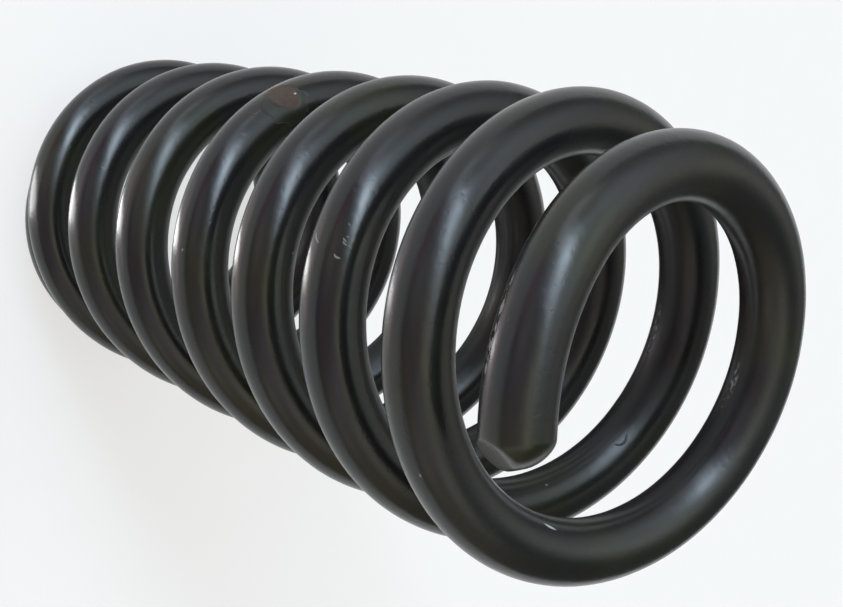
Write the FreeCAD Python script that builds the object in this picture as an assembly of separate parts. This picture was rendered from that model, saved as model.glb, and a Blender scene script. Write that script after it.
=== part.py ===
import FreeCAD, Part
import math
import os

# Helical compression spring of a vehicle's suspension, coiled hot from one round steel bar.
# Millimetres. +Z runs up the coil's axis from the closed end to the open end. The origin is on
# the axis, in the plane that the closed end stands on. The coil is wound right-handed.

# The bar and the coil
bar_diameter = 18.0
coil_mean_diameter = 113.5
coil_turns = 8.36          # from the start of one cropped tip to the start of the other

# Lead, in millimetres of height for each turn, in the four stretches of the coil
lower_lead = 46.7          # the wide turns that follow the closed end
upper_lead = 39.1          # the turns below the open end
open_end_lead = 28.4       # the last stretch of the open end, which never touches its neighbour
closed_flat_turns = 0.24   # the seat of the closed end, coiled level
closing_turns = 1.03       # over these the lead grows from nothing to the lower lead
lead_change_turns = 1.5    # over these the lower lead passes into the upper one
lead_change_from_open_end = 3.08
open_lead_turns = 0.47     # the open end's own lead holds this far from its tip
opening_turns = 0.7        # and passes into the upper lead over these

# Both end turns are drawn in from the coil's mean radius
open_tuck = 8.8
open_tuck_turns = 0.175    # the full tuck holds this far from the open tip
open_tuck_fade_turns = 0.8
tail_flare = 4.4           # the open tip springs back out, because its last stretch is straight
tail_flare_turns = 0.133
closed_tuck = 14.4
closed_tuck_turns = 0.7

# The two cropped tips, each a short straight stub of the bar
open_tip_length = 9.0
open_tip_rounding = 5.0    # the shear rolls this edge over
closed_tip_length = 4.0
closed_tip_rounding = 2.0
bevel_angle = 42.0         # the slanted shear face on the open tip's outer side, from square
bevel_swing = -6.0         # how far that face is turned about the bar, from straight outward
bevel_stand_off = 0.6      # the bevel's plane meets the bar's axis this far past the end

# The bar's path is a chain of circular arcs, each nearly tangent to the next
arcs_per_turn = 12

bar_radius = bar_diameter / 2
coil_mean_radius = coil_mean_diameter / 2


def ease(x):
    """Go smoothly from 0 at x = 0 to 1 at x = 1, level at both ends and beyond them."""
    x = min(max(x, 0.0), 1.0)
    return x * x * (3 - 2 * x)


def ease_area(x):
    """Give the area under ease, from 0 to x."""
    inside = min(max(x, 0.0), 1.0)
    return inside ** 3 - inside ** 4 / 2 + max(x - 1.0, 0.0)


def drop_from_open_end(turns_down):
    """Give how far the bar has come down the axis, this many turns below the open tip."""
    opening = opening_turns * ease_area((turns_down - open_lead_turns) / opening_turns)
    change = lead_change_turns * ease_area((turns_down - lead_change_from_open_end) / lead_change_turns)
    closing_start = coil_turns - closed_flat_turns - closing_turns
    closing = closing_turns * ease_area((turns_down - closing_start) / closing_turns)
    drop = open_end_lead * turns_down
    drop += (upper_lead - open_end_lead) * opening
    drop += (lower_lead - upper_lead) * change
    drop -= lower_lead * closing
    return drop


def bar_height(turn):
    """Give the height of the bar's centreline, this many turns above the closed tip."""
    return bar_radius + drop_from_open_end(coil_turns) - drop_from_open_end(coil_turns - turn)


def coil_radius(turn):
    """Give the radius of the bar's centreline, this many turns above the closed tip."""
    from_open_tip = coil_turns - turn
    open_fade = 1 - ease((from_open_tip - open_tuck_turns) / open_tuck_fade_turns)
    closed_fade = 1 - ease(turn / closed_tuck_turns)
    flare = max(1 - from_open_tip / tail_flare_turns, 0.0) ** 2
    return coil_mean_radius - open_tuck * open_fade + tail_flare * flare - closed_tuck * closed_fade


def bar_point(turn):
    """Give the point of the bar's centreline, this many turns above the closed tip."""
    angle = 2 * math.pi * turn
    radius = coil_radius(turn)
    return FreeCAD.Vector(radius * math.cos(angle), radius * math.sin(angle), bar_height(turn))


def arc_chain(start_turn, end_turn):
    """Give the centreline's arcs between two of its turns, all of one angle."""
    count = math.ceil((end_turn - start_turn) * arcs_per_turn)
    step = (end_turn - start_turn) / count
    arcs = []
    for index in range(count):
        start = start_turn + index * step
        arc = Part.Arc(bar_point(start), bar_point(start + step / 2), bar_point(start + step))
        arcs.append(arc.toShape())
    return arcs


def coil_path():
    """Give the edges of the bar's centreline: the closed tip, the coil's arcs and the open tip."""
    flare_start = coil_turns - tail_flare_turns
    arcs = arc_chain(0.0, flare_start) + arc_chain(flare_start, coil_turns)
    first_point = arcs[0].valueAt(arcs[0].FirstParameter)
    first_direction = arcs[0].tangentAt(arcs[0].FirstParameter)
    last_point = arcs[-1].valueAt(arcs[-1].LastParameter)
    last_direction = arcs[-1].tangentAt(arcs[-1].LastParameter)
    closed_end = first_point - first_direction * closed_tip_length
    open_end = last_point + last_direction * open_tip_length
    closed_tip = Part.LineSegment(closed_end, first_point).toShape()
    open_tip = Part.LineSegment(last_point, open_end).toShape()
    return [closed_tip] + arcs + [open_tip]


def swept_bar(path):
    """Sweep the round bar along its path, with both ends cut square."""
    start = path[0].valueAt(path[0].FirstParameter)
    direction = path[0].tangentAt(path[0].FirstParameter)
    section = Part.Wire([Part.Circle(start, direction, bar_radius).toShape()])
    return Part.Wire(path).makePipeShell([section], True, True)


def roll_over(bar, end, rounding):
    """Round the rim of the bar's end face that lies at this point."""
    faces = [face for face in bar.Faces if face.CenterOfMass.distanceToPoint(end) < bar_radius / 2]
    return bar.makeFillet(rounding, faces[0].OuterWire.Edges)


def shear_block(end, direction):
    """Make the block that takes a slanted face off the outer side of the bar's open end."""
    outward = FreeCAD.Vector(end.x, end.y, 0)
    upward = direction.cross(outward)
    reach = 2 * bar_diameter
    thickness = 1.2 * bar_diameter
    block = Part.makeBox(reach, reach, thickness, FreeCAD.Vector(0, -reach / 2, -thickness / 2))
    block.rotate(FreeCAD.Vector(0, 0, 0), FreeCAD.Vector(0, 0, 1), bevel_angle)
    block.rotate(FreeCAD.Vector(0, 0, 0), FreeCAD.Vector(1, 0, 0), bevel_swing)
    seat = end + direction * bevel_stand_off
    turned = FreeCAD.Placement(seat, FreeCAD.Rotation(direction, outward, upward, "XZY"))
    block.Placement = turned.multiply(block.Placement)
    return block


def coil_spring():
    """Make the whole spring as one solid: the coiled bar with its two cropped tips."""
    path = coil_path()
    closed_end = path[0].valueAt(path[0].FirstParameter)
    open_end = path[-1].valueAt(path[-1].LastParameter)
    open_direction = path[-1].tangentAt(path[-1].LastParameter)
    bar = roll_over(swept_bar(path), closed_end, closed_tip_rounding)
    bar = roll_over(bar, open_end, open_tip_rounding)
    return bar.cut(shear_block(open_end, open_direction))


os.makedirs("parts", exist_ok=True)
spring = coil_spring()
spring.Solids[0].exportStep("parts/coil_spring.step")
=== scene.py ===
"""Dress a coiled suspension spring.

It makes the black enamelled bar, the flaws in its enamel, the floor, the lamps and the camera.
"""

import logging
import math
from dataclasses import dataclass, field, fields
from enum import Enum
from typing import Any, Mapping, Optional, Sequence, Tuple, Union

import bpy
from mathutils import Euler, Matrix, Vector

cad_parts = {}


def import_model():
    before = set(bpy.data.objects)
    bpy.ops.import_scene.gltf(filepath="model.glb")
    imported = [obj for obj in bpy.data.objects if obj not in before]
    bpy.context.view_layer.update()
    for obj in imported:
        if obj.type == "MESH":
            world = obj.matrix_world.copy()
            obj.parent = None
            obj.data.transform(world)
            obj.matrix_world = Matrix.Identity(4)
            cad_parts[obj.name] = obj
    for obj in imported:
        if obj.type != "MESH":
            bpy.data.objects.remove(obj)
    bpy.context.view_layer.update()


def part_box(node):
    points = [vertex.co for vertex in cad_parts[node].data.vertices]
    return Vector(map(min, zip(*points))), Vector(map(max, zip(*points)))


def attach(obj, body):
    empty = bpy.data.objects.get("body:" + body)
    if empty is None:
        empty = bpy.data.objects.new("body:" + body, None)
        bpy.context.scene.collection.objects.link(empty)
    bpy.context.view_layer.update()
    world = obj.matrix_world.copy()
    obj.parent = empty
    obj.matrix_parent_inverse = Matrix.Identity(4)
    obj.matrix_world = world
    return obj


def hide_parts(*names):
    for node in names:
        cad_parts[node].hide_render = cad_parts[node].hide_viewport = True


LOG = logging.getLogger("spring")

Triple = Tuple[float, float, float]
Inputs = Mapping[Union[str, int], Any]
COIL_NODE = "coil_spring"
WHITE = (1.0, 1.0, 1.0)
RAY_KINDS = ("Is Camera Ray", "Is Glossy Ray", "Is Transmission Ray")


class Quantity(Enum):
    """The kinds of input that a geometry tree takes, with their socket types."""

    NUMBER = "NodeSocketFloat"
    COUNT = "NodeSocketInt"
    VECTOR = "NodeSocketVector"
    MATERIAL = "NodeSocketMaterial"
    GEOMETRY = "NodeSocketGeometry"


@dataclass(frozen=True)
class Field:
    """A socket of a node tree that takes plain arithmetic, with one node for each step."""

    sketch: "NodeSketch"
    socket: bpy.types.NodeSocket

    @property
    def is_vector(self) -> bool:
        """Say whether the socket carries vectors or colours."""
        return self.socket.type in {"VECTOR", "RGBA"}

    def __add__(self, other: "Operand") -> "Field":
        """Add a number, a vector or another field."""
        return self.sketch.arithmetic("ADD", self, other)

    def __radd__(self, other: "Operand") -> "Field":
        """Add this field to a number or a vector."""
        return self.sketch.arithmetic("ADD", other, self)

    def __sub__(self, other: "Operand") -> "Field":
        """Subtract a number, a vector or another field."""
        return self.sketch.arithmetic("SUBTRACT", self, other)

    def __rsub__(self, other: "Operand") -> "Field":
        """Subtract this field from a number or a vector."""
        return self.sketch.arithmetic("SUBTRACT", other, self)

    def __mul__(self, other: "Operand") -> "Field":
        """Multiply by a number, a vector or another field."""
        return self.sketch.arithmetic("MULTIPLY", self, other)

    def __truediv__(self, other: "Operand") -> "Field":
        """Divide by a number or another field."""
        return self.sketch.arithmetic("DIVIDE", self, other)

    def __pow__(self, exponent: float) -> "Field":
        """Raise a number to a power."""
        return self.sketch.maths("POWER", self, exponent)

    def dot(self, other: "Operand") -> "Field":
        """Give the dot product with another vector."""
        return self.sketch.vector_maths("DOT_PRODUCT", self, other)

    def cross(self, other: "Operand") -> "Field":
        """Give the cross product with another vector."""
        return self.sketch.vector_maths("CROSS_PRODUCT", self, other)

    def unit(self) -> "Field":
        """Give the vector at a length of 1."""
        return self.sketch.vector_maths("NORMALIZE", self)

    def length(self) -> "Field":
        """Give the vector's length."""
        return self.sketch.vector_maths("LENGTH", self)

    def parts(self) -> Tuple["Field", "Field", "Field"]:
        """Give the vector's X, Y and Z."""
        node = self.sketch.node("ShaderNodeSeparateXYZ", {"Vector": self})
        return tuple(Field(self.sketch, socket) for socket in node.outputs)


Operand = Union[Field, float, int, Sequence[float]]
Sizes = Mapping[str, Field]


@dataclass(frozen=True)
class NodeSketch:
    """Writes a node tree of geometry or shader nodes from formulas."""

    tree: bpy.types.NodeTree

    def plug(self, value: Any, socket: bpy.types.NodeSocket) -> None:
        """Link a field into an input socket, or set a plain value on it.

        Args:
            value: A field or a plain value.
            socket: The input socket.
        """
        if isinstance(value, Field):
            self.tree.links.new(value.socket, socket)
        else:
            socket.default_value = value

    def node(self, kind: str, inputs: Optional[Inputs] = None, **settings: Any) -> bpy.types.Node:
        """Add a node.

        Args:
            kind: The node's type name.
            inputs: Values or fields by socket name or index.
            **settings: The node's own settings, such as its operation.

        Returns:
            The node.
        """
        node = self.tree.nodes.new(kind)
        for name, value in settings.items():
            setattr(node, name, value)
        for key, value in (inputs or {}).items():
            self.plug(value, self.input_of(node, key))
        return node

    @staticmethod
    def input_of(node: bpy.types.Node, key: Union[str, int]) -> bpy.types.NodeSocket:
        """Find a node's input by index, or by name among those in use.

        Args:
            node: The node to search.
            key: The socket's index or name.

        Returns:
            The input socket.
        """
        if isinstance(key, int):
            return node.inputs[key]
        return next(socket for socket in node.inputs if socket.name == key and socket.enabled)

    def out(self, node: bpy.types.Node, name: Optional[str] = None) -> Field:
        """Give one of a node's outputs in use, the first if no name is given."""
        sockets = [socket for socket in node.outputs if socket.enabled and name in (None, socket.name)]
        return Field(self, sockets[0])

    def result(self, kind: str, inputs: Optional[Inputs] = None, **settings: Any) -> Field:
        """Add a node and give its first output in use."""
        return self.out(self.node(kind, inputs, **settings))

    def maths(self, operation: str, *operands: Operand, clamp: bool = False) -> Field:
        """Add a Math node and give its result, held between 0 and 1 if clamp is set."""
        settings = {"operation": operation, "use_clamp": clamp}
        return self.result("ShaderNodeMath", dict(enumerate(operands)), **settings)

    def vector_maths(self, operation: str, *operands: Operand) -> Field:
        """Add a Vector Math node and give its result, a vector or a number."""
        return self.result("ShaderNodeVectorMath", dict(enumerate(operands)), operation=operation)

    def arithmetic(self, operation: str, left: Operand, right: Operand) -> Field:
        """Add, subtract, multiply or divide numbers and vectors.

        Args:
            operation: ADD, SUBTRACT, MULTIPLY or DIVIDE.
            left: The first number, vector or field.
            right: The second.

        Returns:
            The result, a vector where either side is one.
        """
        left_vector, right_vector = (
            side.is_vector if isinstance(side, Field) else isinstance(side, tuple)
            for side in (left, right))
        if not left_vector and not right_vector:
            return self.maths(operation, left, right)
        if operation == "MULTIPLY" and left_vector != right_vector:
            vector, scale = (left, right) if left_vector else (right, left)
            return self.result("ShaderNodeVectorMath", {0: vector, "Scale": scale}, operation="SCALE")
        return self.vector_maths(operation, left, right)

    def vector(self, x: Operand, y: Operand, z: Operand) -> Field:
        """Join three numbers into a vector."""
        return self.result("ShaderNodeCombineXYZ", {0: x, 1: y, 2: z})

    def held(self, value: Operand, low: Operand, high: Operand) -> Field:
        """Hold a number between two others."""
        return self.maths("MINIMUM", self.maths("MAXIMUM", value, low), high)

    def ramp(self, value: Operand, low: Operand, high: Operand, start: Operand = 0.0,
             end: Operand = 1.0) -> Field:
        """Map a number from one range to another, level at both ends, and hold it there."""
        inputs = {"Value": value, "From Min": low, "From Max": high, "To Min": start, "To Max": end}
        return self.result("ShaderNodeMapRange", inputs, interpolation_type="SMOOTHSTEP")

    def blend(self, share: Operand, first: Operand, second: Operand) -> Field:
        """Mix two numbers by a share from 0 to 1."""
        return self.result("ShaderNodeMix", {0: share, 2: first, 3: second}, data_type="FLOAT")

    def blend_colours(self, share: Operand, first: Operand, second: Operand) -> Field:
        """Mix two colours by a share from 0 to 1."""
        shades = [shade if isinstance(shade, Field) else (*shade, 1.0) for shade in (first, second)]
        return self.result("ShaderNodeMix", {0: share, 6: shades[0], 7: shades[1]}, data_type="RGBA")

    def noise(self, place: Field, scale: Operand, detail: float = 1.0, roughness: float = 0.5) -> Field:
        """Give noise from 0 to 1 at a place, with so many lumps to a metre and finer layers on them."""
        inputs = {"Vector": place, "Scale": scale, "Detail": detail, "Roughness": roughness}
        return self.result("ShaderNodeTexNoise", inputs)


def fresh_sketch(block: Union[bpy.types.Material, bpy.types.World]) -> NodeSketch:
    """Give a material or a world an empty node tree to write in."""
    block.use_nodes = True
    block.node_tree.nodes.clear()
    return NodeSketch(block.node_tree)


def new_tree(name: str, inputs: Mapping[str, Quantity], output: str, quantity: Quantity
             ) -> Tuple[NodeSketch, Sizes, bpy.types.NodeSocket]:
    """Start a geometry tree or group with named inputs and one output.

    Args:
        name: The tree's name.
        inputs: What goes in, by name.
        output: The output's name.
        quantity: The output's kind.

    Returns:
        The tree's sketch, its inputs as fields and the socket that takes its output.
    """
    tree = bpy.data.node_groups.new(name, "GeometryNodeTree")
    for label, kind in inputs.items():
        tree.interface.new_socket(label, in_out="INPUT", socket_type=kind.value)
    tree.interface.new_socket(output, in_out="OUTPUT", socket_type=quantity.value)
    sketch = NodeSketch(tree)
    entry = tree.nodes.new("NodeGroupInput")
    exit_node = tree.nodes.new("NodeGroupOutput")
    values = {label: Field(sketch, entry.outputs[label]) for label in inputs}
    return sketch, values, exit_node.inputs[output]


def names_of(sizes: Any) -> Sequence[str]:
    """Give the names of the sizes that a dataclass holds."""
    return [entry.name for entry in fields(sizes)]


def label_of(name: str) -> str:
    """Turn a size's name into the label of its socket, such as Bar radius for bar_radius."""
    return name.replace("_", " ").capitalize()


def sockets_for(names: Sequence[str], quantity: Quantity = Quantity.NUMBER) -> Mapping[str, Quantity]:
    """Give the sockets of some sizes by their labels."""
    return {label_of(name): quantity for name in names}


def labelled(sizes: Any) -> Mapping[str, Any]:
    """Give the values that a dataclass holds by the labels of their sockets."""
    return {label_of(name): getattr(sizes, name) for name in names_of(sizes)}


def place_group(sketch: NodeSketch, group: bpy.types.NodeTree, size: Sizes, **given: Operand) -> Field:
    """Place a node group that takes the coil's sizes.

    Args:
        sketch: The tree to add to.
        group: The group, whose inputs are named after the sizes.
        size: The coil's sizes as fields.
        **given: The group's other inputs.

    Returns:
        The group's first output.
    """
    node = sketch.tree.nodes.new("GeometryNodeGroup")
    node.node_tree = group
    for socket in node.inputs:
        name = socket.name.lower().replace(" ", "_")
        sketch.plug(given.get(name, size.get(name)), socket)
    return sketch.out(node)


def across_axes(on_line: Field, forward: Field) -> Tuple[Field, Field]:
    """Give the two directions across the bar at a point of the coil's centreline.

    Args:
        on_line: The point.
        forward: The bar's direction there.

    Returns:
        The direction away from the coil's axis, and the one across both, towards the closed end.
    """
    flat_out = on_line * (1.0, 1.0, 0.0)
    outward = (flat_out - forward * flat_out.dot(forward)).unit()
    return outward, forward.cross(outward)


def remembered(sketch: NodeSketch, geometry: Field, name: str, value: Operand, kind: str) -> Field:
    """Store a value at each point as a named attribute, for the material to follow."""
    inputs = {"Geometry": geometry, "Name": name, "Value": value}
    return sketch.result("GeometryNodeStoreNamedAttribute", inputs, data_type=kind)


def dress(sketch: NodeSketch, geometry: Field, material: Field, output: bpy.types.NodeSocket) -> None:
    """End a piece's tree: shade it smooth, realize it and give it its material.

    Args:
        sketch: The tree to add to.
        geometry: The finished shape.
        material: The material.
        output: The tree's output.
    """
    smooth = sketch.result("GeometryNodeSetShadeSmooth", {"Geometry": geometry})
    solid = sketch.result("GeometryNodeRealizeInstances", {"Geometry": smooth})
    dressed = sketch.result("GeometryNodeSetMaterial", {"Geometry": solid, "Material": material})
    sketch.plug(dressed, output)


def run_tree(tree: bpy.types.NodeTree, values: Mapping[str, Any], name: str) -> bpy.types.Object:
    """Run a geometry tree with its inputs set and keep the result as a plain mesh at the origin.

    Args:
        tree: The geometry tree.
        values: The tree's inputs by name.
        name: The new object's name.

    Returns:
        The new object.
    """
    carrier = bpy.data.objects.new(name + "_carrier", bpy.data.meshes.new(name + "_seed"))
    bpy.context.collection.objects.link(carrier)
    modifier = carrier.modifiers.new("Shape", "NODES")
    modifier.node_group = tree
    for item in tree.interface.items_tree:
        if item.item_type == "SOCKET" and item.in_out == "INPUT" and item.name in values:
            modifier[item.identifier] = values[item.name]
    bpy.context.view_layer.update()
    depsgraph = bpy.context.evaluated_depsgraph_get()
    mesh = bpy.data.meshes.new_from_object(carrier.evaluated_get(depsgraph), depsgraph=depsgraph)
    mesh.name = name
    piece = bpy.data.objects.new(name, mesh)
    bpy.context.collection.objects.link(piece)
    carrier.modifiers.clear()
    bpy.data.objects.remove(carrier)
    return piece


@dataclass
class CoilRule:
    """The sizes that the bar's centreline and its tips follow, in metres, turns of the coil and radians.

    The open tip is cut askew: towards its skew side it is longer, by the skew for each metre across.
    """

    bar_radius: float = 0.009
    mean_radius: float = 0.05675
    turns: float = 8.36
    lower_lead: float = 0.0467
    upper_lead: float = 0.0391
    open_end_lead: float = 0.0284
    closed_flat_turns: float = 0.24
    closing_turns: float = 1.03
    lead_change_turns: float = 1.5
    lead_change_from_open_end: float = 3.08
    open_lead_turns: float = 0.47
    opening_turns: float = 0.7
    open_tuck: float = 0.0088
    open_tuck_turns: float = 0.175
    open_tuck_fade_turns: float = 0.8
    tail_flare: float = 0.0044
    tail_flare_turns: float = 0.133
    closed_tuck: float = 0.0144
    closed_tuck_turns: float = 0.7
    open_tip_length: float = 0.00994
    open_tip_rounding: float = 0.0069
    open_tip_skew: float = 0.358
    open_tip_skew_side: float = math.radians(85.2)
    open_tip_skew_length: float = 0.012
    closed_tip_length: float = 0.004
    closed_tip_rounding: float = 0.002
    bevel_angle: float = math.radians(45.7)
    bevel_swing: float = math.radians(3.4)
    bevel_stand_off: float = 0.00166
    bevel_softness: float = 0.0006

    @property
    def circumference(self) -> float:
        """Give the length of bar in one full turn of the coil."""
        return 2 * math.pi * self.mean_radius

    def fit_to(self, low: Vector, high: Vector) -> None:
        """Take the coil's radius from its box's lowest and highest corners."""
        self.mean_radius = (high.x - low.x) / 2 - self.bar_radius


@dataclass
class BarSurface:
    """How the bar's skin departs from a true round, in metres, with slopes and wear as shares."""

    enamel_inset: float = 0.00012
    wave: float = 0.00011
    wave_length: float = 0.042
    lump: float = 0.000035
    lump_size: float = 0.009
    lump_flattening: float = 1.6
    bare_depth: float = 0.00016
    bare_slope: float = 0.09
    flaked_depth: float = 0.00007
    flaked_slope: float = 0.07
    tip_wear: float = 0.09
    tip_wear_reach: float = 0.1


@dataclass
class BarMesh:
    """How finely the bar is divided."""

    sides: int = 64
    stations: int = 1150
    centreline_points: int = 1700
    tip_cuts: int = 5
    flaw_cuts: int = 5


@dataclass(frozen=True)
class Grain:
    """A noise in a surface.

    Its scale is in lumps to a metre and its detail in finer layers. Along is 1 where it is even, and less
    where it is drawn out along the bar. With a band, the noise is 0 below that and 1 above.
    """

    scale: float
    detail: float = 1.0
    roughness: float = 0.5
    along: float = 1.0
    shift: float = 0.0
    band: Optional[Tuple[float, float]] = None

    def at(self, sketch: NodeSketch, place: Field) -> Field:
        """Give the noise, from 0 to 1, at each place.

        Args:
            sketch: The tree to add to.
            place: The place, for the enamel on the bar laid out straight.

        Returns:
            The noise.
        """
        if self.shift:
            place = place + (self.shift, self.shift, self.shift)
        if self.along != 1.0:
            place = place * (1.0, 1.0, self.along)
        noise = sketch.noise(place, self.scale, self.detail, self.roughness)
        return sketch.ramp(noise, *self.band) if self.band else noise


@dataclass(frozen=True)
class Flaw:
    """A spot on the bar, by its turn of the coil and its angle round the bar from the outer side.

    Its slant turns its length away from the bar's own direction. Both angles are in degrees.
    """

    turn: float
    angle: float
    half_length: float
    half_width: float
    slant: float = 0.0

    def mask(self, sketch: NodeSketch, rule: CoilRule, place: Field, ragged: Field, edge: Operand
             ) -> Field:
        """Give 1 inside the spot and 0 outside it, with a ragged edge.

        Args:
            sketch: The tree to add to.
            rule: The coil's sizes.
            place: The place on the bar laid out straight, with Z along it.
            ragged: How far the edge wanders, as a share of the spot's size.
            edge: How wide the slope at the edge is, as a share of the spot's size.

        Returns:
            The mask.
        """
        across_x, across_y, along = place.parts()
        angle = math.radians(self.angle)
        towards = across_x * math.cos(angle) + across_y * math.sin(angle)
        aside = across_y * math.cos(angle) - across_x * math.sin(angle)
        around = sketch.maths("ARCTAN2", aside, towards) * rule.bar_radius
        along = along - self.turn * rule.circumference
        slant = math.radians(self.slant)
        lengthwise = along * math.cos(slant) + around * math.sin(slant)
        sideways = around * math.cos(slant) - along * math.sin(slant)
        offset = sketch.vector(lengthwise / self.half_length, sideways / self.half_width, 0.0)
        return sketch.ramp(offset.length() + ragged, 1.0 + edge, 1.0 - edge)


# How the edges of the flaws wander, and how far, as a share of a flaw's size.
RAGGED_EDGE = Grain(380.0, 3.0)
RAGGEDNESS = 0.62

# Points nearer to each other than this, in metres, are joined.
MERGE_DISTANCE = 0.00001

# The seed of the skin's waves, and the direction in which it shifts them.
SKIN_SEED = 3.7
SEED_SHIFT = (1.0, 0.37, 0.11)

BARE_PATCH = Flaw(turn=4.1565, angle=-41.0, half_length=0.0041, half_width=0.0055, slant=-17.0)
FLAKED_COAT = Flaw(turn=4.161, angle=-60.0, half_length=0.0072, half_width=0.0078, slant=-14.0)
SCRATCHES = (
    Flaw(turn=7.5145, angle=-142.0, half_length=0.0021, half_width=0.0004, slant=9.0),
    Flaw(turn=4.148, angle=-50.0, half_length=0.0004, half_width=0.0003),
)
SPECKS = (
    Flaw(turn=3.731, angle=151.0, half_length=0.0004, half_width=0.0004),
    Flaw(turn=4.313, angle=-25.0, half_length=0.0004, half_width=0.0003),
    Flaw(turn=5.293, angle=-119.0, half_length=0.0004, half_width=0.0004),
    Flaw(turn=7.402, angle=-26.0, half_length=0.0004, half_width=0.0003),
    Flaw(turn=6.613, angle=-142.0, half_length=0.0004, half_width=0.0003),
)
# Pitted stretches of enamel: pits in the bump, and pale dots painted on them as glints, a painted
# highlight.
PITTED_ZONES = (
    Flaw(turn=6.810, angle=164.0, half_length=0.009, half_width=0.0011),
    Flaw(turn=7.784, angle=170.0, half_length=0.008, half_width=0.0011),
    Flaw(turn=8.300, angle=19.0, half_length=0.013, half_width=0.0011),
)


def ragged_edge(sketch: NodeSketch, place: Field) -> Field:
    """Give how far the flaws' edges wander at each place on the bar laid out straight."""
    return (RAGGED_EDGE.at(sketch, place) - 0.5) * RAGGEDNESS


@dataclass(frozen=True)
class Ridge:
    """A short raised ridge in the enamel, from one place on the bar to another, bent towards a third.

    Each place is a turn of the coil and an angle round the bar in degrees. Its glint paleness is how pale
    it is: a painted highlight standing in for the glints the ridge catches.
    """

    start: Tuple[float, float]
    towards: Tuple[float, float]
    end: Tuple[float, float]
    half_width: float = 0.0003
    wear: float = 0.45


# Paint runs, each with a pale tint painted on it: a painted highlight standing in for its glints.
PAINT_RUNS = (
    Ridge((6.2836, -44.0), (6.2870, -48.5), (6.2856, -57.0), 0.00027),
    Ridge((6.2722, -50.5), (6.2736, -54.5), (6.2746, -59.0), 0.00022),
    Ridge((6.2742, -52.0), (6.2766, -56.5), (6.2762, -62.0), 0.00024),
    Ridge((6.2704, -55.0), (6.2704, -57.5), (6.2712, -60.5), 0.00021),
    Ridge((6.2762, -62.5), (6.2764, -67.0), (6.2778, -70.5), 0.00019),
    Ridge((6.2722, 6.0), (6.2762, 2.0), (6.2790, -9.0), 0.00025),
)
# The flake's lip carries a faint painted highlight; the blister carries none.
FLAKE_LIP = Ridge((4.1785, -38.0), (4.1925, -50.0), (4.1892, -20.0), 0.00025, wear=0.04)
CRESCENT_BLISTER = Ridge((6.6930, -142.0), (6.6992, -118.0), (6.7106, -138.5), 0.0004, wear=0.0)


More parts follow.
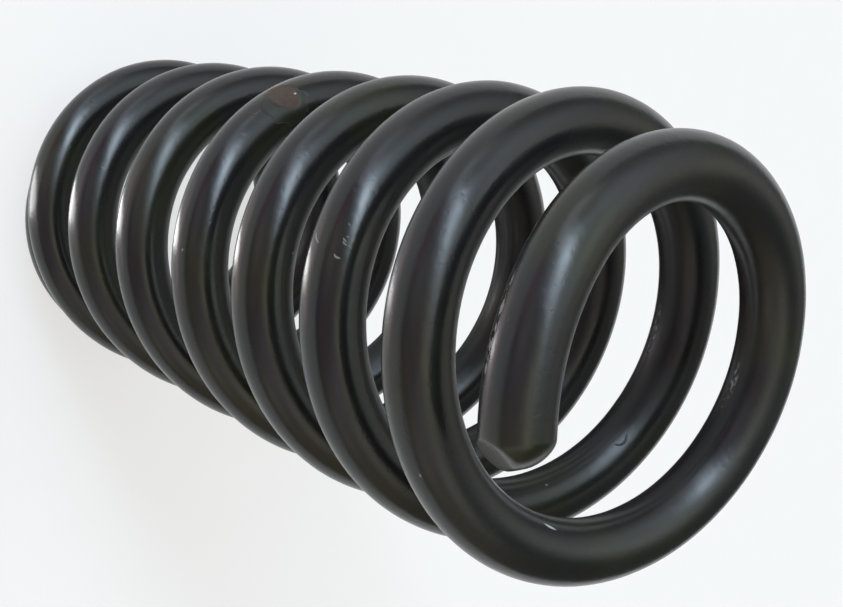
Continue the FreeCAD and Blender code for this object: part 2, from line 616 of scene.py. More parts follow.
@dataclass
class CoiledBar:
    """The spring's bar: a straight round bar bent along the coil's centreline, with its tips cropped."""

    rule: CoilRule
    surface: BarSurface = field(default_factory=BarSurface)
    mesh: BarMesh = field(default_factory=BarMesh)

    def drop_group(self) -> bpy.types.NodeTree:
        """Make the group that gives the height lost from the open end, by turns.

        Returns:
            The node group.
        """
        names = ("turns", "lower_lead", "upper_lead", "open_end_lead", "closed_flat_turns",
                 "closing_turns", "lead_change_turns", "lead_change_from_open_end", "open_lead_turns",
                 "opening_turns")
        inputs = {"Turns down": Quantity.NUMBER, **sockets_for(names)}
        sketch, values, output = new_tree("drop_from_open_end", inputs, "Drop", Quantity.NUMBER)
        down = values["Turns down"]
        size = {name: values[label_of(name)] for name in names}

        def eased_turns(start: Operand, stretch: Field) -> Field:
            """Give the turns gained past a start, easing in over a stretch."""
            share = (down - start) / stretch
            held = sketch.maths("ADD", share, 0.0, clamp=True)
            beyond = sketch.maths("MAXIMUM", share - 1.0, 0.0)
            return stretch * (held ** 3.0 - held ** 4.0 * 0.5 + beyond)

        closing_start = size["turns"] - size["closed_flat_turns"] - size["closing_turns"]
        drop = size["open_end_lead"] * down
        opening = eased_turns(size["open_lead_turns"], size["opening_turns"])
        drop += (size["upper_lead"] - size["open_end_lead"]) * opening
        change = eased_turns(size["lead_change_from_open_end"], size["lead_change_turns"])
        drop += (size["lower_lead"] - size["upper_lead"]) * change
        drop -= size["lower_lead"] * eased_turns(closing_start, size["closing_turns"])
        sketch.plug(drop, output)
        return sketch.tree

    def point_group(self) -> bpy.types.NodeTree:
        """Make the group that gives the centreline's point at a turn above the closed tip.

        Returns:
            The node group.
        """
        names = names_of(CoilRule)
        inputs = {"Turn": Quantity.NUMBER, **sockets_for(names)}
        sketch, values, output = new_tree("centreline_point", inputs, "Place", Quantity.VECTOR)
        turn = values["Turn"]
        size = {name: values[label_of(name)] for name in names}
        down = size["turns"] - turn
        drops = self.drop_group()
        height = size["bar_radius"] + place_group(sketch, drops, size, turns_down=size["turns"])
        height = height - place_group(sketch, drops, size, turns_down=down)
        past_tuck = (down - size["open_tuck_turns"]) / size["open_tuck_fade_turns"]
        open_fade = 1.0 - sketch.ramp(past_tuck, 0.0, 1.0)
        closed_fade = 1.0 - sketch.ramp(turn / size["closed_tuck_turns"], 0.0, 1.0)
        flare = sketch.maths("MAXIMUM", 1.0 - down / size["tail_flare_turns"], 0.0) ** 2.0
        radius = size["mean_radius"] - size["open_tuck"] * open_fade
        radius = radius + size["tail_flare"] * flare - size["closed_tuck"] * closed_fade
        angle = turn * (2 * math.pi)
        across = (radius * sketch.maths("COSINE", angle), radius * sketch.maths("SINE", angle))
        sketch.plug(sketch.vector(*across, height), output)
        return sketch.tree

    def centreline(self, sketch: NodeSketch, size: Sizes, points: Field) -> Tuple[Field, Field]:
        """Make the coil's centreline as a curve.

        Args:
            sketch: The tree to add to.
            size: The coil's sizes as fields.
            points: How many points the curve has.

        Returns:
            The curve, and the turn at each of its points.
        """
        line = sketch.result("GeometryNodeMeshLine", {"Count": points})
        turn = sketch.result("GeometryNodeInputIndex") / (points - 1.0) * size["turns"]
        place = place_group(sketch, self.point_group(), size, turn=turn)
        bent = sketch.result("GeometryNodeSetPosition", {"Geometry": line, "Position": place})
        return sketch.result("GeometryNodeMeshToCurve", {"Mesh": bent}), turn

    def straight_bar(self, sketch: NodeSketch, size: Sizes, coil_length: Field, counts: Sizes) -> Field:
        """Make the bar straight along Z, long enough to wrap round both of its ends.

        Args:
            sketch: The tree to add to.
            size: The coil's sizes as fields.
            coil_length: The length of the centreline.
            counts: How finely the bar is divided.

        Returns:
            The tube.
        """
        # A rounded rim is a quarter arc in place of one rounding along the bar and one across it.
        rim = math.pi / 2 - 2.0
        closed_wrap, open_wrap = (
            size[tip + "_tip_length"] + size[tip + "_tip_rounding"] * rim + size["bar_radius"]
            for tip in ("closed", "open"))
        start = sketch.vector(0.0, 0.0, closed_wrap * -1.0)
        end = sketch.vector(0.0, 0.0, coil_length + open_wrap)
        line = sketch.result("GeometryNodeCurvePrimitiveLine", {"Start": start, "End": end})
        line = sketch.result("GeometryNodeResampleCurve", {"Curve": line, "Count": counts["stations"]})
        along = sketch.result("GeometryNodeInputPosition").parts()[2]
        near_closed = sketch.maths("LESS_THAN", along, 0.0)
        near_open = sketch.maths("GREATER_THAN", along, coil_length - size["bar_radius"])
        distance = sketch.maths("ABSOLUTE", along / coil_length - FLAKED_COAT.turn / self.rule.turns)
        near_flaw = sketch.maths("LESS_THAN", distance * coil_length, FLAKED_COAT.half_length * 2)
        cuts = (near_closed + near_open) * counts["tip_cuts"] + near_flaw * counts["flaw_cuts"]
        line = sketch.result("GeometryNodeSubdivideCurve", {"Curve": line, "Cuts": cuts})
        inputs = {"Resolution": counts["sides"], "Radius": size["bar_radius"]}
        ring = sketch.result("GeometryNodeCurvePrimitiveCircle", inputs)
        inputs = {"Curve": line, "Profile Curve": ring, "Fill Caps": True}
        return sketch.result("GeometryNodeCurveToMesh", inputs)

    @staticmethod
    def rounded_ends(sketch: NodeSketch, size: Sizes, along: Field, coil_length: Field
                     ) -> Tuple[Field, Field]:
        """Wrap the straight bar's ends round their rims.

        Args:
            sketch: The tree to add to.
            size: The coil's sizes as fields.
            along: How far along the straight bar each point is.
            coil_length: The length of the centreline.

        Returns:
            How far from the centreline and how far along it each point goes.
        """
        at_open = sketch.maths("GREATER_THAN", along, coil_length * 0.5)
        rounding = sketch.blend(at_open, size["closed_tip_rounding"], size["open_tip_rounding"])
        low_start = size["closed_tip_rounding"] - size["closed_tip_length"]
        high_start = coil_length + size["open_tip_length"] - size["open_tip_rounding"]
        held = sketch.held(along, low_start, high_start)
        round_the_end = sketch.maths("ABSOLUTE", along - held)
        bend = sketch.maths("MINIMUM", round_the_end / rounding, math.pi / 2)
        inward = sketch.maths("MAXIMUM", round_the_end - rounding * (math.pi / 2), 0.0)
        reach = size["bar_radius"] - rounding * (1.0 - sketch.maths("COSINE", bend)) - inward
        towards_end = at_open * 2.0 - 1.0
        distance = held + towards_end * rounding * sketch.maths("SINE", bend)
        return sketch.maths("MAXIMUM", reach, 0.0), distance

    def tree(self) -> bpy.types.NodeTree:
        """Make the geometry tree of the whole bar.

        Returns:
            The tree, with its sizes, counts, seed and material as named inputs.
        """
        size_names = [*names_of(CoilRule), *names_of(BarSurface)]
        count_names = names_of(BarMesh)
        inputs = {"Geometry": Quantity.GEOMETRY, "Seed": Quantity.NUMBER, "Enamel": Quantity.MATERIAL,
                  **sockets_for(size_names), **sockets_for(count_names, Quantity.COUNT)}
        sketch, values, output = new_tree("coiled_bar", inputs, "Geometry", Quantity.GEOMETRY)
        size = {name: values[label_of(name)] for name in size_names}
        counts = {name: values[label_of(name)] for name in count_names}

        curve, turn = self.centreline(sketch, size, counts["centreline_points"])
        coil_length = sketch.result("GeometryNodeCurveLength", {"Curve": curve})
        tube = self.straight_bar(sketch, size, coil_length, counts)
        across_x, across_y, along = sketch.result("GeometryNodeInputPosition").parts()
        angle = sketch.maths("ARCTAN2", across_y, across_x)
        reach, distance = self.rounded_ends(sketch, size, along, coil_length)

        inputs = {"Curves": curve, "Value": turn, "Length": distance}
        sample = sketch.node("GeometryNodeSampleCurve", inputs, mode="LENGTH")
        on_line = sketch.out(sample, "Position")
        forward = sketch.out(sample, "Tangent").unit()
        outward, sideways = across_axes(on_line, forward)
        past_end = distance - sketch.held(distance, 0.0, coil_length)

        cos_angle = sketch.maths("COSINE", angle)
        sin_angle = sketch.maths("SINE", angle)
        unbent = sketch.out(sample, "Value") * size["mean_radius"] * (2 * math.pi) + past_end
        laid_out = sketch.vector(reach * cos_angle, reach * sin_angle, unbent)
        swell = self.skin_offset(sketch, size, laid_out, values["Seed"])
        radius = reach + swell * (reach / size["bar_radius"])
        skew_start = coil_length + size["open_tip_length"] - size["open_tip_skew_length"]
        skewed = sketch.ramp((distance - skew_start) / size["open_tip_skew_length"], 0.0, 1.0)
        to_long_side = sketch.maths("COSINE", angle - size["open_tip_skew_side"])
        longer = size["open_tip_skew"] * radius * to_long_side * skewed
        place = on_line + forward * (past_end + longer)
        place = place + (outward * cos_angle + sideways * sin_angle) * radius

        at_tip = sketch.maths("GREATER_THAN", distance, coil_length - size["bar_radius"])
        cropped = self.cropped(sketch, size, curve, place, at_tip)
        # The tip is paler where it is pressed onto the shear face, as scuffed enamel. The enamel ridges
        # store their painted glints under the same attribute.
        full_wear = size["bar_radius"] * size["tip_wear_reach"]
        worn = sketch.ramp((cropped - place).length(), 0.0, full_wear, 0.0, size["tip_wear"])
        tube = remembered(sketch, tube, "straight_bar", laid_out, "FLOAT_VECTOR")
        tube = remembered(sketch, tube, "worn", worn, "FLOAT")
        bent = sketch.result("GeometryNodeSetPosition", {"Geometry": tube, "Position": cropped})
        inputs = {"Geometry": bent, "Distance": MERGE_DISTANCE}
        merged = sketch.result("GeometryNodeMergeByDistance", inputs)
        dress(sketch, merged, values["Enamel"], output)
        return sketch.tree

    def skin_offset(self, sketch: NodeSketch, size: Sizes, laid_out: Field, seed: Field) -> Field:
        """Give how far the skin stands out from the true round bar.

        Args:
            sketch: The tree to add to.
            size: The skin's sizes as fields.
            laid_out: The place of each point on the bar laid out straight.
            seed: A number that shifts the noise.

        Returns:
            The offset along the bar's radius.
        """
        flattening = sketch.vector(size["lump_flattening"], size["lump_flattening"], 1.0)
        stretched = (laid_out + seed * SEED_SHIFT) * flattening
        wave = sketch.noise(stretched, sketch.maths("DIVIDE", 1.0, size["wave_length"])) - 0.5
        lump = sketch.noise(stretched, sketch.maths("DIVIDE", 1.0, size["lump_size"])) - 0.5
        offset = wave * 2.0 * size["wave"] + lump * 2.0 * size["lump"] - size["enamel_inset"]
        ragged = ragged_edge(sketch, laid_out)
        bare = BARE_PATCH.mask(sketch, self.rule, laid_out, ragged, size["bare_slope"])
        flaked = FLAKED_COAT.mask(sketch, self.rule, laid_out, ragged, size["flaked_slope"])
        return offset - bare * size["bare_depth"] - flaked * size["flaked_depth"]

    @staticmethod
    def cropped(sketch: NodeSketch, size: Sizes, curve: Field, place: Field, at_tip: Field) -> Field:
        """Press the points past the slanted shear face back onto it.

        Args:
            sketch: The tree to add to.
            size: The coil's sizes as fields.
            curve: The coil's centreline.
            place: Where each point is.
            at_tip: 1 at the open tip and 0 elsewhere.

        Returns:
            Where each point goes.
        """
        inputs = {"Curves": curve, "Factor": 1.0}
        end_sample = sketch.node("GeometryNodeSampleCurve", inputs, mode="FACTOR")
        end_point = sketch.out(end_sample, "Position")
        forward = sketch.out(end_sample, "Tangent").unit()
        outward, sideways = across_axes(end_point, forward)
        swing = size["bevel_swing"]
        tilt = size["bevel_angle"]
        leaning = outward * sketch.maths("COSINE", swing) + sideways * sketch.maths("SINE", swing)
        facing = forward * sketch.maths("COSINE", tilt) + leaning * sketch.maths("SINE", tilt)
        seat = end_point + forward * (size["open_tip_length"] + size["bevel_stand_off"])
        proud = (place - seat).dot(facing)
        softness = size["bevel_softness"]
        pressed = (proud + sketch.maths("SQRT", proud * proud + softness * softness)) * 0.5
        back = pressed / sketch.maths("COSINE", tilt)
        return place - forward * (back * at_tip)

    def build(self, enamel: bpy.types.Material) -> bpy.types.Object:
        """Make the bar's mesh, which wears the enamel."""
        values = {"Seed": SKIN_SEED, "Enamel": enamel}
        for sizes in (self.rule, self.surface, self.mesh):
            values.update(labelled(sizes))
        return run_tree(self.tree(), values, "coiled_bar")


@dataclass
class EnamelRidges:
    """The small raised ridges where the enamel ran and blistered, on the bar that carries them.

    Sunk is how deep a ridge lies, as a share of its half width. Bluntness is the square of the share of
    its width that is left at its ends.
    """

    bar: CoiledBar
    ridges: Sequence[Ridge]
    steps: int = 14
    sides: int = 12
    sunk: float = 0.4
    bluntness: float = 0.02
    turn_step: float = 0.002

    def straight_place(self, place: Tuple[float, float], radius: float) -> Triple:
        """Give a place on the bar laid out straight along Z, from its turn and angle."""
        turn, angle = place[0], math.radians(place[1])
        return (radius * math.cos(angle), radius * math.sin(angle), turn * self.bar.rule.circumference)

    def ridge(self, sketch: NodeSketch, ridge: Ridge, steps: Field, sides: Field) -> Field:
        """Make one ridge on the bar laid out straight, as a tube that tapers to both ends.

        Args:
            sketch: The tree to add to.
            ridge: The ridge.
            steps: How many steps it has along its length.
            sides: How many sides the tube has.

        Returns:
            The tube's geometry.
        """
        radius = self.bar.rule.bar_radius - self.bar.surface.enamel_inset - ridge.half_width * self.sunk
        places = (ridge.start, ridge.towards, ridge.end)
        start, towards, end = (self.straight_place(place, radius) for place in places)
        inputs = {"Resolution": steps, "Start": start, "Middle": towards, "End": end}
        curve = sketch.result("GeometryNodeCurveQuadraticBezier", inputs)
        across_x, across_y, along = sketch.result("GeometryNodeInputPosition").parts()
        outward = sketch.vector(across_x, across_y, 0.0).unit()
        place = outward * radius + sketch.vector(0.0, 0.0, along)
        curve = sketch.result("GeometryNodeSetPosition", {"Geometry": curve, "Position": place})
        share = sketch.out(sketch.node("GeometryNodeSplineParameter"), "Factor")
        from_middle = share * 2.0 - 1.0
        taper = sketch.maths("SQRT", 1.0 + self.bluntness - from_middle * from_middle)
        inputs = {"Resolution": sides, "Radius": ridge.half_width}
        ring = sketch.result("GeometryNodeCurvePrimitiveCircle", inputs)
        inputs = {"Curve": curve, "Profile Curve": ring, "Scale": taper, "Fill Caps": True}
        tube = sketch.result("GeometryNodeCurveToMesh", inputs)
        # The ridge's paleness is a painted glint, standing in for the light it catches.
        return remembered(sketch, tube, "worn", ridge.wear, "FLOAT")

    def tree(self) -> bpy.types.NodeTree:
        """Make the geometry tree of all the ridges.

        Returns:
            The tree, with the coil's sizes, the counts and the material as named inputs.
        """
        names = names_of(CoilRule)
        inputs = {"Geometry": Quantity.GEOMETRY, "Enamel": Quantity.MATERIAL, **sockets_for(names),
                  **sockets_for(("steps", "sides"), Quantity.COUNT)}
        sketch, values, output = new_tree("enamel_ridges", inputs, "Geometry", Quantity.GEOMETRY)
        size = {name: values[label_of(name)] for name in names}
        join = sketch.node("GeometryNodeJoinGeometry")
        for ridge in self.ridges:
            sketch.plug(self.ridge(sketch, ridge, values["Steps"], values["Sides"]), join.inputs[0])
        laid_out = sketch.result("GeometryNodeInputPosition")
        across_x, across_y, along = laid_out.parts()
        turn = along / (size["mean_radius"] * (2 * math.pi))
        points = self.bar.point_group()
        on_line, ahead, behind = (place_group(sketch, points, size, turn=turn + step)
                                  for step in (0.0, self.turn_step, -self.turn_step))
        forward = (ahead - behind).unit()
        outward, sideways = across_axes(on_line, forward)
        place = on_line + outward * across_x + sideways * across_y
        ridges = remembered(sketch, sketch.out(join), "straight_bar", laid_out, "FLOAT_VECTOR")
        bent = sketch.result("GeometryNodeSetPosition", {"Geometry": ridges, "Position": place})
        dress(sketch, bent, values["Enamel"], output)
        return sketch.tree

    def build(self, enamel: bpy.types.Material) -> bpy.types.Object:
        """Make the ridges' mesh, which wears the enamel."""
        values = {**labelled(self.bar.rule), "Steps": self.steps, "Sides": self.sides, "Enamel": enamel}
        return run_tree(self.tree(), values, "enamel_ridges")


@dataclass(frozen=True)
class BlackEnamel:
    """Gloss black enamel over hot-rolled bar, with one patch chipped to rusty steel.

    A band is where a value goes from one end to the other, an edge is how soft a flaw's edge is, as a
    share of its size, and heights and depths are of the bump, in metres.
    """

    black: Triple = (0.0090, 0.0094, 0.0098)
    # The brownish tint is a painted reflection, laid on the side that faces the closed end.
    brown: Triple = (0.0230, 0.0140, 0.0150)
    olive: Triple = (0.0125, 0.0140, 0.0070)
    rust: Triple = (0.070, 0.044, 0.029)
    dark_rust: Triple = (0.052, 0.033, 0.023)
    red_rust: Triple = (0.088, 0.042, 0.027)
    # The pale colour of scratches, specks and the scuffed tip, and of the painted glints on the paint
    # runs and in the pitted zones.
    scuff: Triple = (0.42, 0.44, 0.43)
    # How the edge of the painted brownish reflection wanders, and where it goes from none to full.
    warmth: Grain = Grain(18.0)
    warmth_wander: float = 2.2
    warm_band: Tuple[float, float] = (0.0, 1.2)
    greenness: Grain = Grain(22.0, shift=5.0, band=(0.50, 0.66))
    mottle: Grain = Grain(900.0, 2.0, 0.6)
    rust_band: Tuple[float, float] = (0.35, 0.65)
    # Pale dots in the pitted zones, painted glints.
    flecks: Grain = Grain(1100.0, along=0.4, band=(0.50, 0.62))
    cloud: Grain = Grain(70.0)
    cloud_band: Tuple[float, float] = (0.3, 0.7)
    peel: Grain = Grain(330.0)
    streaks: Grain = Grain(900.0, along=0.12)
    pits: Grain = Grain(640.0, band=(0.62, 0.74))
    gloss_low: float = 0.22
    gloss_high: float = 0.30
    inside_dullness: float = 0.07
    inside_band: Tuple[float, float] = (0.1, -0.7)
    flaked_roughness: float = 0.36
    bare_roughness: float = 0.74
    speck_paleness: float = 0.4
    # How pale the painted glints in the pitted zones are.
    fleck_paleness: float = 0.5
    pitted_elsewhere: float = 0.12
    bare_edge: float = 0.04
    flaked_edge: float = 0.03
    core_edge: float = 0.30
    core_raggedness: float = 1.5
    scratch_edge: float = 0.3
    speck_edge: float = 0.4
    zone_edge: float = 0.35
    peel_height: float = 0.00004
    streak_height: float = 0.00001
    rust_height: float = 0.00006
    mark_height: float = 0.00005
    pit_depth: float = 0.00013
    bare_depth: float = 0.00015
    flaked_depth: float = 0.00005

    def paint(self, sketch: NodeSketch, place: Field, closed_side: Field) -> Field:
        """Give the enamel's colour: black with an olive cast here and there, and a brownish cast painted
        on the side that faces the closed end, a painted reflection.

        Args:
            sketch: The material's tree.
            place: The place on the bar laid out straight.
            closed_side: How far each point faces the closed end, from -1 to 1.

        Returns:
            The colour.
        """
        # A brownish cast painted on the side that faces the closed end: a painted reflection of brownish
        # surroundings.
        wander = (self.warmth.at(sketch, place) - 0.5) * self.warmth_wander
        brown_reflection = sketch.ramp(closed_side + wander, *self.warm_band)
        colour = sketch.blend_colours(self.greenness.at(sketch, place), self.black, self.olive)
        return sketch.blend_colours(brown_reflection, colour, self.brown)

    def rusty(self, sketch: NodeSketch, mottle: Field, core: Field) -> Field:
        """Give the bare steel's colour, mottled rust that is redder round the patch's edge."""
        colour = sketch.blend_colours(sketch.ramp(mottle, *self.rust_band), self.dark_rust, self.rust)
        return sketch.blend_colours(core, self.red_rust, colour)

    def marks(self, sketch: NodeSketch, rule: CoilRule, place: Field, ragged: Field, zones: Field
              ) -> Field:
        """Give how pale each point is, from the stored tip scuffing and painted ridge glints, the
        scratches, the specks and the painted glints in the pitted zones.

        Args:
            sketch: The material's tree.
            rule: The coil's sizes, which place the flaws.
            place: The place on the bar laid out straight.
            ragged: How far the flaws' edges wander.
            zones: Where the enamel is pitted, and where pale dots are painted on as glints.

        Returns:
            The paleness, from 0 to 1.
        """
        # The stored attribute holds the scuffed tip's paleness and the ridges' painted glints.
        marks = sketch.out(sketch.node("ShaderNodeAttribute", attribute_name="worn"), "Fac")
        for scratch in SCRATCHES:
            pale = scratch.mask(sketch, rule, place, ragged, self.scratch_edge)
            marks = sketch.maths("MAXIMUM", marks, pale)
        for speck in SPECKS:
            pale = speck.mask(sketch, rule, place, ragged, self.speck_edge) * self.speck_paleness
            marks = sketch.maths("MAXIMUM", marks, pale)
        # Pale dots in the pitted zones: painted glints standing in for the light the pits catch.
        flecks = self.flecks.at(sketch, place) * zones
        return sketch.maths("MAXIMUM", marks, flecks * self.fleck_paleness)

    def build(self, rule: CoilRule) -> bpy.types.Material:
        """Make the material.

        Args:
            rule: The coil's sizes, which place the flaws.

        Returns:
            The material.
        """
        material = bpy.data.materials.new("black_enamel")
        sketch = fresh_sketch(material)
        place = sketch.out(sketch.node("ShaderNodeAttribute", attribute_name="straight_bar"), "Vector")
        outer_side, closed_side = (place * (1.0 / rule.bar_radius)).parts()[:2]

        ragged = ragged_edge(sketch, place)
        bare = BARE_PATCH.mask(sketch, rule, place, ragged, self.bare_edge)
        flaked = FLAKED_COAT.mask(sketch, rule, place, ragged, self.flaked_edge)
        core = BARE_PATCH.mask(sketch, rule, place, ragged * self.core_raggedness, self.core_edge)
        zones = sum(zone.mask(sketch, rule, place, ragged, self.zone_edge) for zone in PITTED_ZONES)
        mottle = self.mottle.at(sketch, place)
        marks = self.marks(sketch, rule, place, ragged, zones)

        colour = self.paint(sketch, place, closed_side)
        colour = sketch.blend_colours(bare, colour, self.rusty(sketch, mottle, core))
        # Pale marks: scratches, specks and the scuffed tip, and painted highlights where the paint runs
        # and pits glint.
        colour = sketch.blend_colours(marks, colour, self.scuff)

        cloud = self.cloud.at(sketch, place)
        gloss = sketch.ramp(cloud, *self.cloud_band, self.gloss_low, self.gloss_high)
        gloss = gloss + sketch.ramp(outer_side, *self.inside_band, 0.0, self.inside_dullness)
        roughness = sketch.blend(flaked, gloss, self.flaked_roughness)
        roughness = sketch.blend(sketch.maths("MAXIMUM", bare, marks), roughness, self.bare_roughness)

        height = self.peel.at(sketch, place) * self.peel_height
        height += self.streaks.at(sketch, place) * self.streak_height
        height += mottle * bare * self.rust_height
        height += marks * self.mark_height
        height -= self.pits.at(sketch, place) * (zones + self.pitted_elsewhere) * self.pit_depth
        height -= bare * self.bare_depth
        height -= flaked * self.flaked_depth
        inputs = {"Height": height, "Distance": 1.0, "Strength": 1.0}
        bump = sketch.result("ShaderNodeBump", inputs)

        inputs = {"Base Color": colour, "Roughness": roughness, "Normal": bump}
        shader = sketch.result("ShaderNodeBsdfPrincipled", inputs)
        sketch.node("ShaderNodeOutputMaterial", {"Surface": shader})
        return material


@dataclass
class PhotoCamera:
    """The camera of the photograph, in metres and degrees."""

    place: Triple = (-0.0528, 0.2254, 0.5205)
    turn: Triple = (-13.214, -35.449, -55.963)
    lens: float = 51.65
    sensor_width: float = 36.0
    clip_start: float = 0.01

    def build(self) -> bpy.types.Object:
        """Make the camera, set it as the scene's and return it."""
        data = bpy.data.cameras.new("photo_camera")
        data.lens = self.lens
        data.sensor_width = self.sensor_width
        data.sensor_fit = "HORIZONTAL"
        data.clip_start = self.clip_start
        camera = bpy.data.objects.new("photo_camera", data)
        camera.location = self.place
        camera.rotation_euler = Euler([math.radians(angle) for angle in self.turn], "XYZ")
        bpy.context.collection.objects.link(camera)
        bpy.context.scene.camera = camera
        bpy.context.view_layer.update()
        return camera


@dataclass(frozen=True)
class SoftGlow:
    """A soft bright spot in the studio's surroundings, placed by angles as the camera sees them.

    Longitude 0 is behind the camera and 90 is to its right. Width and height are where half the strength
    is left. They and the slant are in degrees too.
    """

    name: str
    longitude: float
    latitude: float
    width: float
    height: float
    level: float
    tint: Triple = WHITE
    slant: float = 0.0

    def light(self, sketch: NodeSketch, direction: Field, view: Matrix) -> Field:
        """Give the light that comes from each direction.

        Args:
            sketch: The world's tree.
            direction: The direction that is looked in.
            view: The camera's turn, with its right, up and back axes as columns.

        Returns:
            The light's colour.
        """
        longitude = math.radians(self.longitude)
        latitude = math.radians(self.latitude)
        side = math.cos(latitude) * math.sin(longitude)
        back = math.cos(latitude) * math.cos(longitude)
        outward = (view @ Vector((side, math.sin(latitude), back))).normalized()
        if self.width == self.height:
            sharpness = math.log(2.0) / (1.0 - math.cos(math.radians(self.width) / 2))
            strength = sketch.maths("EXPONENT", direction.dot(tuple(outward * sharpness)))
            in_the_middle = math.exp(sharpness)
        else:
            strength = self.long_shape(sketch, direction, outward, view)
            in_the_middle = 1.0
        light = strength * tuple(self.level * part / in_the_middle for part in self.tint)
        light.socket.node.label = self.name
        return light

    def long_shape(self, sketch: NodeSketch, direction: Field, outward: Vector, view: Matrix) -> Field:
        """Give the strength of a glow that is longer one way than the other.

        Args:
            sketch: The world's tree.
            direction: The direction that is looked in.
            outward: The direction of the glow's middle.
            view: The camera's turn.

        Returns:
            The strength, with 1 in the middle.
        """
        eastward = (view @ Vector((0.0, 1.0, 0.0))).cross(outward).normalized()
        northward = outward.cross(eastward)
        slant = math.radians(self.slant)
        wide = eastward * math.cos(slant) + northward * math.sin(slant)
        high = outward.cross(wide)
        across = direction.dot(tuple(wide / math.sin(math.radians(self.width) / 2)))
        along = direction.dot(tuple(high / math.sin(math.radians(self.height) / 2)))
        in_front = sketch.maths("GREATER_THAN", direction.dot(tuple(outward)), 0.0)
        return sketch.maths("POWER", 0.5, across * across + along * along) * in_front


# The power of each square metre of a low lamp at a level of 1.
LAMP_WATTS = 4.0


@dataclass(frozen=True)
class LowLamp:
    """A flat lamp that lies just over the floor and shines up, in metres and degrees."""

    name: str
    place: Triple
    length: float
    width: float
    turn: float
    level: float
    tint: Triple = WHITE

    def build(self) -> bpy.types.Object:
        """Make the lamp, hidden from the camera."""
        data = bpy.data.lights.new(self.name, "AREA")
        data.shape = "RECTANGLE"
        data.size = self.length
        data.size_y = self.width
        data.energy = self.level * LAMP_WATTS * self.length * self.width
        data.color = self.tint
        lamp = bpy.data.objects.new(self.name, data)
        face_up = Matrix.Rotation(math.radians(self.turn), 4, "Z") @ Matrix.Rotation(math.pi, 4, "X")
        lamp.matrix_world = Matrix.Translation(self.place) @ face_up
        lamp.visible_camera = False
        bpy.context.collection.objects.link(lamp)
        return lamp


GLOWS = (
    SoftGlow("window", 20, 25, 34, 8, 20.0, (0.7, 0.85, 1.0), slant=-50),
    SoftGlow("high_strip", -9, 49, 30, 8, 3.5, (0.75, 0.85, 1.0), slant=-36),
    SoftGlow("top_left", -16, 66, 28, 12, 2.2, (0.75, 0.9, 1.0)),
    SoftGlow("ceiling", 20, 70, 35, 35, 0.45, (1.0, 0.7, 0.55)),
    SoftGlow("right", 45, 38, 32, 32, 1.4, (0.75, 0.9, 1.0)),
    SoftGlow("far_right", 78, 30, 32, 32, 0.6),
    SoftGlow("right_middle", 60, 5, 31, 31, 1.5, (0.9, 1.0, 0.95)),
    SoftGlow("side_right", 94, 0, 30, 30, 0.6, (1.0, 0.95, 0.85)),
    SoftGlow("centre", -4, 2, 28, 28, 0.3, (1.0, 0.6, 0.5)),
    SoftGlow("left", -24, 16, 25, 25, 0.6, (0.9, 0.9, 1.0)),
    SoftGlow("left_high", -38, 32, 21, 21, 0.55, (1.0, 0.25, 0.45)),
    SoftGlow("left_low", -34, -14, 26, 26, 0.35, (1.0, 0.5, 0.6)),
    SoftGlow("below_window", 25, -12, 25, 25, 1.4, (1.0, 0.95, 0.7)),
    SoftGlow("low_centre", -2, -34, 25, 25, 0.75, (0.85, 0.8, 1.0)),
    SoftGlow("low_right", 32, -42, 25, 25, 1.1, (1.0, 1.0, 0.8)),
    SoftGlow("low_left", -36, -48, 26, 26, 0.75, (1.0, 0.9, 0.75)),
    SoftGlow("bottom", -5, -72, 40, 40, 0.4, (1.0, 0.85, 0.45)),
)

LOW_LAMPS = (
    LowLamp("floor_glint", (-0.062, 0.145, 0.006), 0.15, 0.03, 115.0, 7.0),
    LowLamp("floor_left", (-0.090, 0.260, 0.006), 0.14, 0.22, 106.0, 0.7, (1.0, 0.5, 0.55)),
)


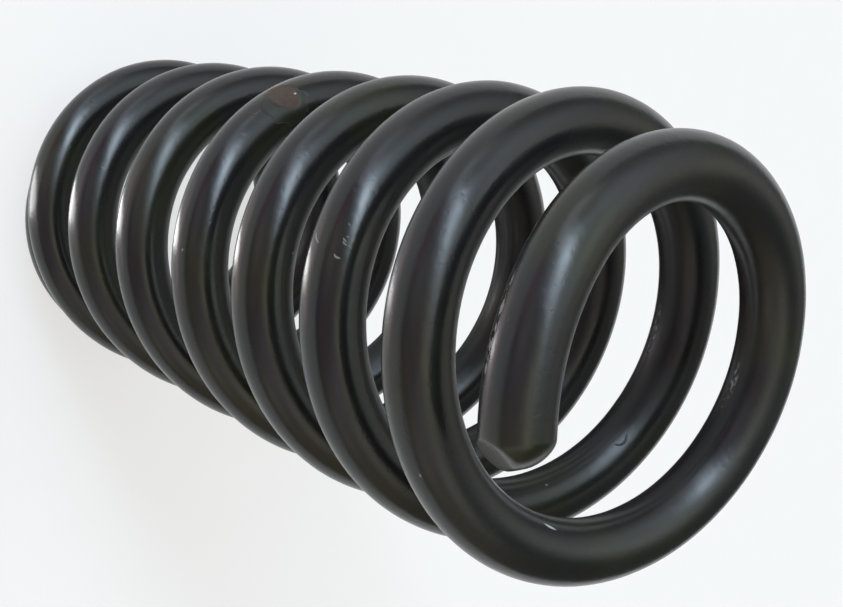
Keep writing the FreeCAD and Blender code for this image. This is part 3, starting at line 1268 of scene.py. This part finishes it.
@dataclass
class Studio:
    """The pale floor, the world and the lamps."""

    floor_size: float = 12.0
    floor_dark: Triple = (0.86, 0.86, 0.86)
    floor_pale: Triple = (0.88, 0.88, 0.88)
    floor_speckle: Grain = Grain(40.0, 3.0, band=(0.2, 0.8))
    floor_roughness: float = 0.9
    floor_whiteness: float = 0.65
    mirrored_share: float = 0.12

    def floor_material(self) -> bpy.types.Material:
        """Make the floor's material, white to the camera and in reflections, with its shadow kept.

        Returns:
            The material.
        """
        material = bpy.data.materials.new("pale_floor")
        sketch = fresh_sketch(material)
        rays = sketch.node("ShaderNodeLightPath")
        seen, mirrored, transmitted = (sketch.out(rays, name) for name in RAY_KINDS)
        seen = sketch.maths("MAXIMUM", sketch.maths("MAXIMUM", seen, mirrored), transmitted)
        place = sketch.out(sketch.node("ShaderNodeTexCoord"), "Object")
        speckle = self.floor_speckle.at(sketch, place)
        pale = sketch.blend_colours(speckle, self.floor_dark, self.floor_pale)
        inputs = {"Base Color": pale, "Roughness": self.floor_roughness}
        matt = sketch.result("ShaderNodeBsdfPrincipled", inputs)
        glow = sketch.result("ShaderNodeEmission", {"Color": (*WHITE, 1.0), "Strength": 1.0})
        inputs = {0: seen * self.floor_whiteness, 1: matt, 2: glow}
        surface = sketch.result("ShaderNodeMixShader", inputs)
        sketch.node("ShaderNodeOutputMaterial", {"Surface": surface})
        return material

    def floor(self) -> bpy.types.Object:
        """Make the floor.

        Returns:
            The floor object.
        """
        half = self.floor_size / 2
        mesh = bpy.data.meshes.new("floor")
        corners = [(-half, -half, 0.0), (half, -half, 0.0), (half, half, 0.0), (-half, half, 0.0)]
        mesh.from_pydata(corners, [], [(0, 1, 2, 3)])
        mesh.materials.append(self.floor_material())
        floor = bpy.data.objects.new("floor", mesh)
        bpy.context.collection.objects.link(floor)
        return floor

    def world(self, view: Matrix, glows: Sequence[SoftGlow]) -> bpy.types.World:
        """Make the studio's surroundings: soft glows, and white where the camera sees past the floor.

        Reflections show the glows, with a small share of that white behind them.

        Args:
            view: The camera's turn, which the glows are placed by.
            glows: The glows.

        Returns:
            The world.
        """
        world = bpy.data.worlds.new("studio_world")
        sketch = fresh_sketch(world)
        direction = sketch.out(sketch.node("ShaderNodeTexCoord"), "Generated")
        light = sketch.vector(0.0, 0.0, 0.0)
        for glow in glows:
            light = light + glow.light(sketch, direction, view)
        rays = sketch.node("ShaderNodeLightPath")
        seen, mirrored, transmitted = (sketch.out(rays, name) for name in RAY_KINDS)
        seen = sketch.maths("MAXIMUM", seen, transmitted)
        white = sketch.maths("MAXIMUM", seen, mirrored * self.mirrored_share)
        light = light * (1.0 - seen) + sketch.vector(white, white, white)
        background = sketch.result("ShaderNodeBackground", {"Color": light, "Strength": 1.0})
        sketch.node("ShaderNodeOutputWorld", {"Surface": background})
        return world

    def build(self, camera: bpy.types.Object) -> None:
        """Make the floor, the world's light and the lamps.

        Args:
            camera: The photograph's camera, which the glows are placed by.
        """
        self.floor()
        bpy.context.scene.world = self.world(camera.matrix_world.to_3x3(), GLOWS)
        for lamp in LOW_LAMPS:
            lamp.build()


def report(label: str, piece: bpy.types.Object) -> None:
    """Log how large a piece's mesh is."""
    LOG.info("%s: %d vertices, %d faces", label, len(piece.data.vertices), len(piece.data.polygons))


def main() -> None:
    """Build the dressed spring and its studio."""
    logging.basicConfig(level=logging.INFO, format="%(message)s")
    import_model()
    bpy.context.scene.view_settings.view_transform = "Standard"

    rule = CoilRule()
    low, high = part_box(COIL_NODE)
    rule.fit_to(Vector(low), Vector(high))
    camera = PhotoCamera().build()

    enamel = BlackEnamel().build(rule)
    coiled_bar = CoiledBar(rule)
    bar = coiled_bar.build(enamel)
    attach(bar, "root")
    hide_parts(COIL_NODE)
    report("Coiled bar", bar)
    ridges = EnamelRidges(coiled_bar, (*PAINT_RUNS, FLAKE_LIP, CRESCENT_BLISTER)).build(enamel)
    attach(ridges, "root")
    report("Enamel ridges", ridges)

    Studio().build(camera)


if __name__ == "__main__":
    main()
